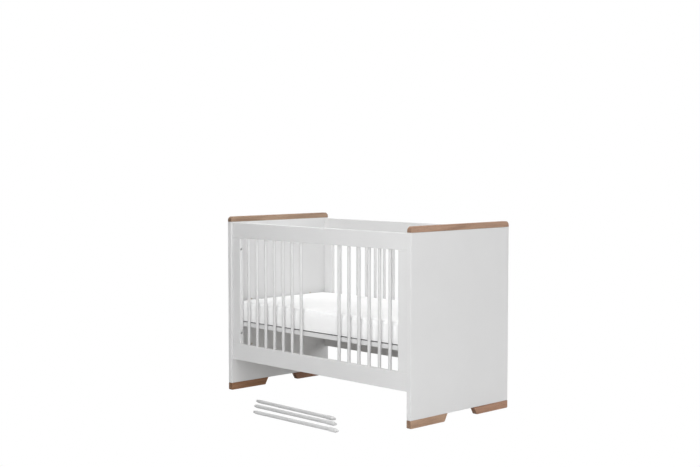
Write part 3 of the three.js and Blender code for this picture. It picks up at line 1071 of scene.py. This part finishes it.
def round_corner(x, y, half_x, half_y, corner):
    """A point of a rectangle, moved so that the rectangle's corners become round."""
    over_x = abs(x) - (half_x - corner)
    over_y = abs(y) - (half_y - corner)
    if over_x <= 0 or over_y <= 0:
        return x, y
    u, v = over_x / corner, over_y / corner
    round_u = u * math.sqrt(1 - v * v / 2)
    round_v = v * math.sqrt(1 - u * u / 2)
    new_x = half_x - corner + corner * round_u
    new_y = half_y - corner + corner * round_v
    return math.copysign(new_x, x), math.copysign(new_y, y)


def grid_line(half, corner):
    """Even steps from -half to half that have a line at the start of each corner."""
    corner_steps = max(round(corner / MATTRESS_CELL), 2)
    middle_steps = max(round(2 * (half - corner) / MATTRESS_CELL), 2)
    inner = half - corner
    line = [-half + corner * step / corner_steps for step in range(corner_steps)]
    line += [-inner + 2 * inner * step / middle_steps for step in range(middle_steps)]
    line += [inner + corner * step / corner_steps for step in range(corner_steps + 1)]
    return line


def mattress_form(low, high):
    """A closed block of even quads: top, border and bottom, with the border's rows of vertices."""
    form = bmesh.new()
    centre = (low + high) / 2
    half_x = (high.x - low.x) / 2 - UPPER_EDGE
    half_y = (high.y - low.y) / 2 - UPPER_EDGE
    corner = MATTRESS_CORNER - UPPER_EDGE
    xs = grid_line(half_x, corner)
    ys = grid_line(half_y, corner)
    sheets = []
    for z in (high.z, low.z):
        sheet = []
        for x in xs:
            points = [round_corner(x, y, half_x, half_y, corner) for y in ys]
            sheet.append([form.verts.new((centre.x + u, centre.y + v, z)) for u, v in points])
        sheets.append(sheet)
    for sheet, flip in zip(sheets, (False, True)):
        for i in range(len(xs) - 1):
            for j in range(len(ys) - 1):
                corners = (sheet[i][j], sheet[i + 1][j], sheet[i + 1][j + 1], sheet[i][j + 1])
                form.faces.new(reversed(corners) if flip else corners)
    rows = border_rows(form, sheets, centre, half_x, half_y, corner, low.z, high.z)
    form.verts.index_update()
    return form, [[vertex.index for vertex in row] for row in rows]


def rim_of(sheet):
    """The outer ring of a sheet's vertices, anticlockwise from its first corner."""
    last_i = len(sheet) - 1
    last_j = len(sheet[0]) - 1
    ring = [sheet[i][0] for i in range(last_i)]
    ring += [sheet[last_i][j] for j in range(last_j)]
    ring += [sheet[i][last_j] for i in range(last_i, 0, -1)]
    ring += [sheet[0][j] for j in range(last_j, 0, -1)]
    return ring


def border_section(bottom, top):
    """The border's section below the upper rim: the share of the way out and the height."""
    section = []
    for step in range(1, UPPER_EDGE_STEPS + 1):
        angle = math.pi / 2 * step / UPPER_EDGE_STEPS
        section.append((math.sin(angle), top - UPPER_EDGE * (1 - math.cos(angle))))
    side_height = top - bottom - UPPER_EDGE - LOWER_EDGE
    side_steps = max(round(side_height / MATTRESS_CELL), 2)
    for step in range(1, side_steps):
        section.append((1, top - UPPER_EDGE - side_height * step / side_steps))
    for step in range(LOWER_EDGE_STEPS + 1):
        angle = math.pi / 2 * (1 - step / LOWER_EDGE_STEPS)
        reach = 1 - (1 - math.sin(angle)) * LOWER_EDGE / UPPER_EDGE
        section.append((reach, bottom + LOWER_EDGE * (1 - math.cos(angle))))
    return section


def border_rows(form, sheets, centre, half_x, half_y, corner, bottom, top):
    """The rows of the border, from the top sheet's rim to the bottom sheet's rim."""
    upper = rim_of(sheets[0])
    rows = [upper]
    for reach, z in border_section(bottom, top):
        row = []
        for vertex in upper:
            offset = outward(vertex.co - centre, half_x, half_y, corner) * UPPER_EDGE * reach
            row.append(form.verts.new((vertex.co.x + offset.x, vertex.co.y + offset.y, z)))
        rows.append(row)
    rows.append(rim_of(sheets[1]))
    count = len(upper)
    for above, below in zip(rows, rows[1:]):
        for index in range(count):
            following = (index + 1) % count
            form.faces.new((above[index], below[index], below[following], above[following]))
    return rows


def outward(offset, half_x, half_y, corner):
    """The direction out of the rounded outline at a point of it."""
    over_x = max(abs(offset.x) - (half_x - corner), 0)
    over_y = max(abs(offset.y) - (half_y - corner), 0)
    direction = Vector((math.copysign(over_x, offset.x), math.copysign(over_y, offset.y), 0))
    return direction.normalized()


def group_of(piece, name, weights):
    """A vertex group with a weight for each vertex's index."""
    group = piece.vertex_groups.new(name=name)
    for index, weight in weights.items():
        group.add([index], weight, "REPLACE")
    return group


def inflate(piece, held):
    """Cloth simulation: the cover, held where it is sewn, swells and creases over the foam."""
    scene = bpy.context.scene
    modifier = piece.modifiers.new("cloth", "CLOTH")
    modifier.settings.vertex_group_mass = group_of(piece, "held", held).name
    for setting, value in CLOTH.items():
        setattr(modifier.settings, setting, value)
    modifier.settings.effector_weights.gravity = 0
    modifier.collision_settings.use_collision = False
    modifier.point_cache.frame_start = 1
    modifier.point_cache.frame_end = CLOTH_FRAMES
    for number in range(1, CLOTH_FRAMES + 1):
        scene.frame_set(number)
    graph = bpy.context.evaluated_depsgraph_get()
    swollen = [vertex.co.copy() for vertex in piece.evaluated_get(graph).data.vertices]
    piece.modifiers.remove(modifier)
    piece.vertex_groups.clear()
    scene.frame_set(1)
    return swollen


def limited(move, cap):
    """A move that grows less and less as it nears the cap."""
    length = move.length
    return move * (cap * (1 - math.exp(-length / cap)) / length) if length > TINY else move


def swell(piece, rows, bottom, top):
    """Blows up the cover of a mattress that lies between two heights, held as it is sewn."""
    places = [vertex.co.copy() for vertex in piece.data.vertices]
    sewn = [index for row in rows[LOWER_SEAM_ROW:] for index in row]
    sewn += [index for index, spot in enumerate(places) if spot.z < bottom + LEVEL_SLACK]
    held = dict.fromkeys(range(len(places)), FOAM_HOLD)
    held.update(dict.fromkeys(sewn, SEWN_HOLD))
    held.update(dict.fromkeys(rows[UPPER_EDGE_STEPS], UPPER_SEAM_HOLD))
    for vertex, old, new in zip(piece.data.vertices, places, inflate(piece, held)):
        cap = TOP_SWELL if old.z > top - LEVEL_SLACK else SIDE_SWELL
        vertex.co = old + limited(new - old, cap)


def make_mattress():
    """The mattress: a swollen cover whose underside and lowest band are dark, as a painted shadow line where it
    meets the base, and a cord at its lower seam.
    """
    node = "mattress"
    low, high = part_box(node)
    low = low + Vector((MATTRESS_SHRINK.x, MATTRESS_SHRINK.y, 0))
    high = high - MATTRESS_SHRINK
    form, rows = mattress_form(low, high)
    piece = new_piece("mattress_cover", form, COVER)
    piece.data.materials.append(UNDERSIDE_PAINTED_SHADOW)
    # The lowest band of the border takes the dark underside: a painted shadow line.
    for face in piece.data.polygons:
        if face.center.z < low.z + SHADOW_BAND_HEIGHT:
            face.material_index = 1
    swell(piece, rows, low.z, high.z)
    seam_path = [piece.data.vertices[index].co.copy() for index in rows[LOWER_SEAM_ROW]]
    smoother = piece.modifiers.new("finer", "SUBSURF")
    smoother.levels = 1
    smoother.render_levels = 1
    apply_modifiers(piece)
    piece.data.shade_smooth()
    stand_for(piece, node)
    cord = new_piece("mattress_piping", tube(seam_path, PIPING_RADIUS, True), PIPING)
    belongs_to(cord, node)


# ---- studio

WHITE = (1, 1, 1, 1)
CAMERA_PLACE = Vector((4.1559, -3.9480, 1.1662))
CAMERA_YAW = 0.8038
CAMERA_DOWN = 0.0626
CAMERA_LENS = 62.42
CAMERA_SENSOR = 36
FLOOR_SIZE = 60
FLOOR_PALENESS = 0.8
FLOOR_GAP = 0.5 * MM  # between the floor and what stands on it
# Each softbox: where it stands, its width and height, and its power. They all face the cot.
SOFTBOXES = {
    "front_right": ((3.1, -3.1, 1.3), 2.8, 2.4, 79),
    "above_front": ((0.8, -2.5, 3.6), 2.4, 2.0, 67),
    "above": ((0, 0, 4.0), 3.0, 2.4, 71),
    "inside": ((0.9, -0.9, 3.0), 1.6, 1.6, 19),
    "right_rear": ((4.0, 2.5, 1.5), 2.0, 2.0, 56),
    "rear": ((0, 4.4, 1.3), 2.8, 2.4, 76),
    "left_rear": ((-3.8, 1.9, 1.5), 2.4, 2.2, 62),
}
SOFTBOX_TARGET = Vector((0, 0, 0.45))


def make_camera():
    """The camera, where the photo's perspective puts it."""
    data = bpy.data.cameras.new("camera")
    data.lens = CAMERA_LENS
    data.sensor_width = CAMERA_SENSOR
    camera = bpy.data.objects.new("camera", data)
    camera.location = CAMERA_PLACE
    camera.rotation_euler = (math.pi / 2 - CAMERA_DOWN, 0, CAMERA_YAW)
    bpy.context.scene.collection.objects.link(camera)
    bpy.context.scene.camera = camera


def make_world():
    """A backdrop that is white to the camera and gives no light: the softboxes do."""
    world = bpy.data.worlds.new("studio")
    world.use_nodes = True
    world.node_tree.nodes.clear()
    bpy.context.scene.world = world
    dark = add(world, "Background", {"Color": WHITE, "Strength": 0.0})
    backdrop = add(world, "Background", {"Color": WHITE, "Strength": 1.0})
    seen = add(world, "LightPath").outputs["Is Camera Ray"]
    mixed = add(world, "MixShader", {0: seen, 1: dark.outputs[0], 2: backdrop.outputs[0]})
    output = add(world, "OutputWorld")
    link(world, mixed.outputs[0], output.inputs["Surface"])


def make_floor():
    """A plain pale floor that throws light back, and that the camera sees as plain white."""
    material, shader = new_material(
        "floor", Roughness=0.9, Specular_IOR_Level=0, Emission_Color=WHITE
    )
    seen = add(material, "LightPath").outputs["Is Camera Ray"]
    settings = {0: seen, 1: -FLOOR_PALENESS, 2: FLOOR_PALENESS}
    thrown_back = add(material, "Math", settings, operation="MULTIPLY_ADD").outputs["Value"]
    link(material, thrown_back, shader.inputs["Base Color"])
    link(material, seen, shader.inputs["Emission Strength"])
    form = bmesh.new()
    bmesh.ops.create_grid(form, x_segments=1, y_segments=1, size=FLOOR_SIZE / 2)
    floor = new_piece("floor", form, material)
    floor.location.z = -FLOOR_GAP


def make_softboxes():
    """Area lights round the cot, which the camera doesn't see."""
    for name, (spot, width, height, power) in SOFTBOXES.items():
        data = bpy.data.lights.new(name, "AREA")
        data.shape = "RECTANGLE"
        data.size = width
        data.size_y = height
        data.energy = power
        lamp = bpy.data.objects.new(name, data)
        lamp.location = spot
        lamp.visible_camera = False
        lamp.rotation_euler = (SOFTBOX_TARGET - Vector(spot)).to_track_quat("-Z", "Y").to_euler()
        bpy.context.scene.collection.objects.link(lamp)


make_camera()
make_world()
make_floor()
make_softboxes()
bpy.context.scene.view_settings.view_transform = "Standard"

for end in ENDS:
    make_end_panel(end)
    make_cap(end)
    for side in SIDES:
        make_foot(end, side)
for side in SIDES:
    make_side(side)
make_base()
make_mattress()
for which in LOOSE_BARS:
    make_loose_bar(which)
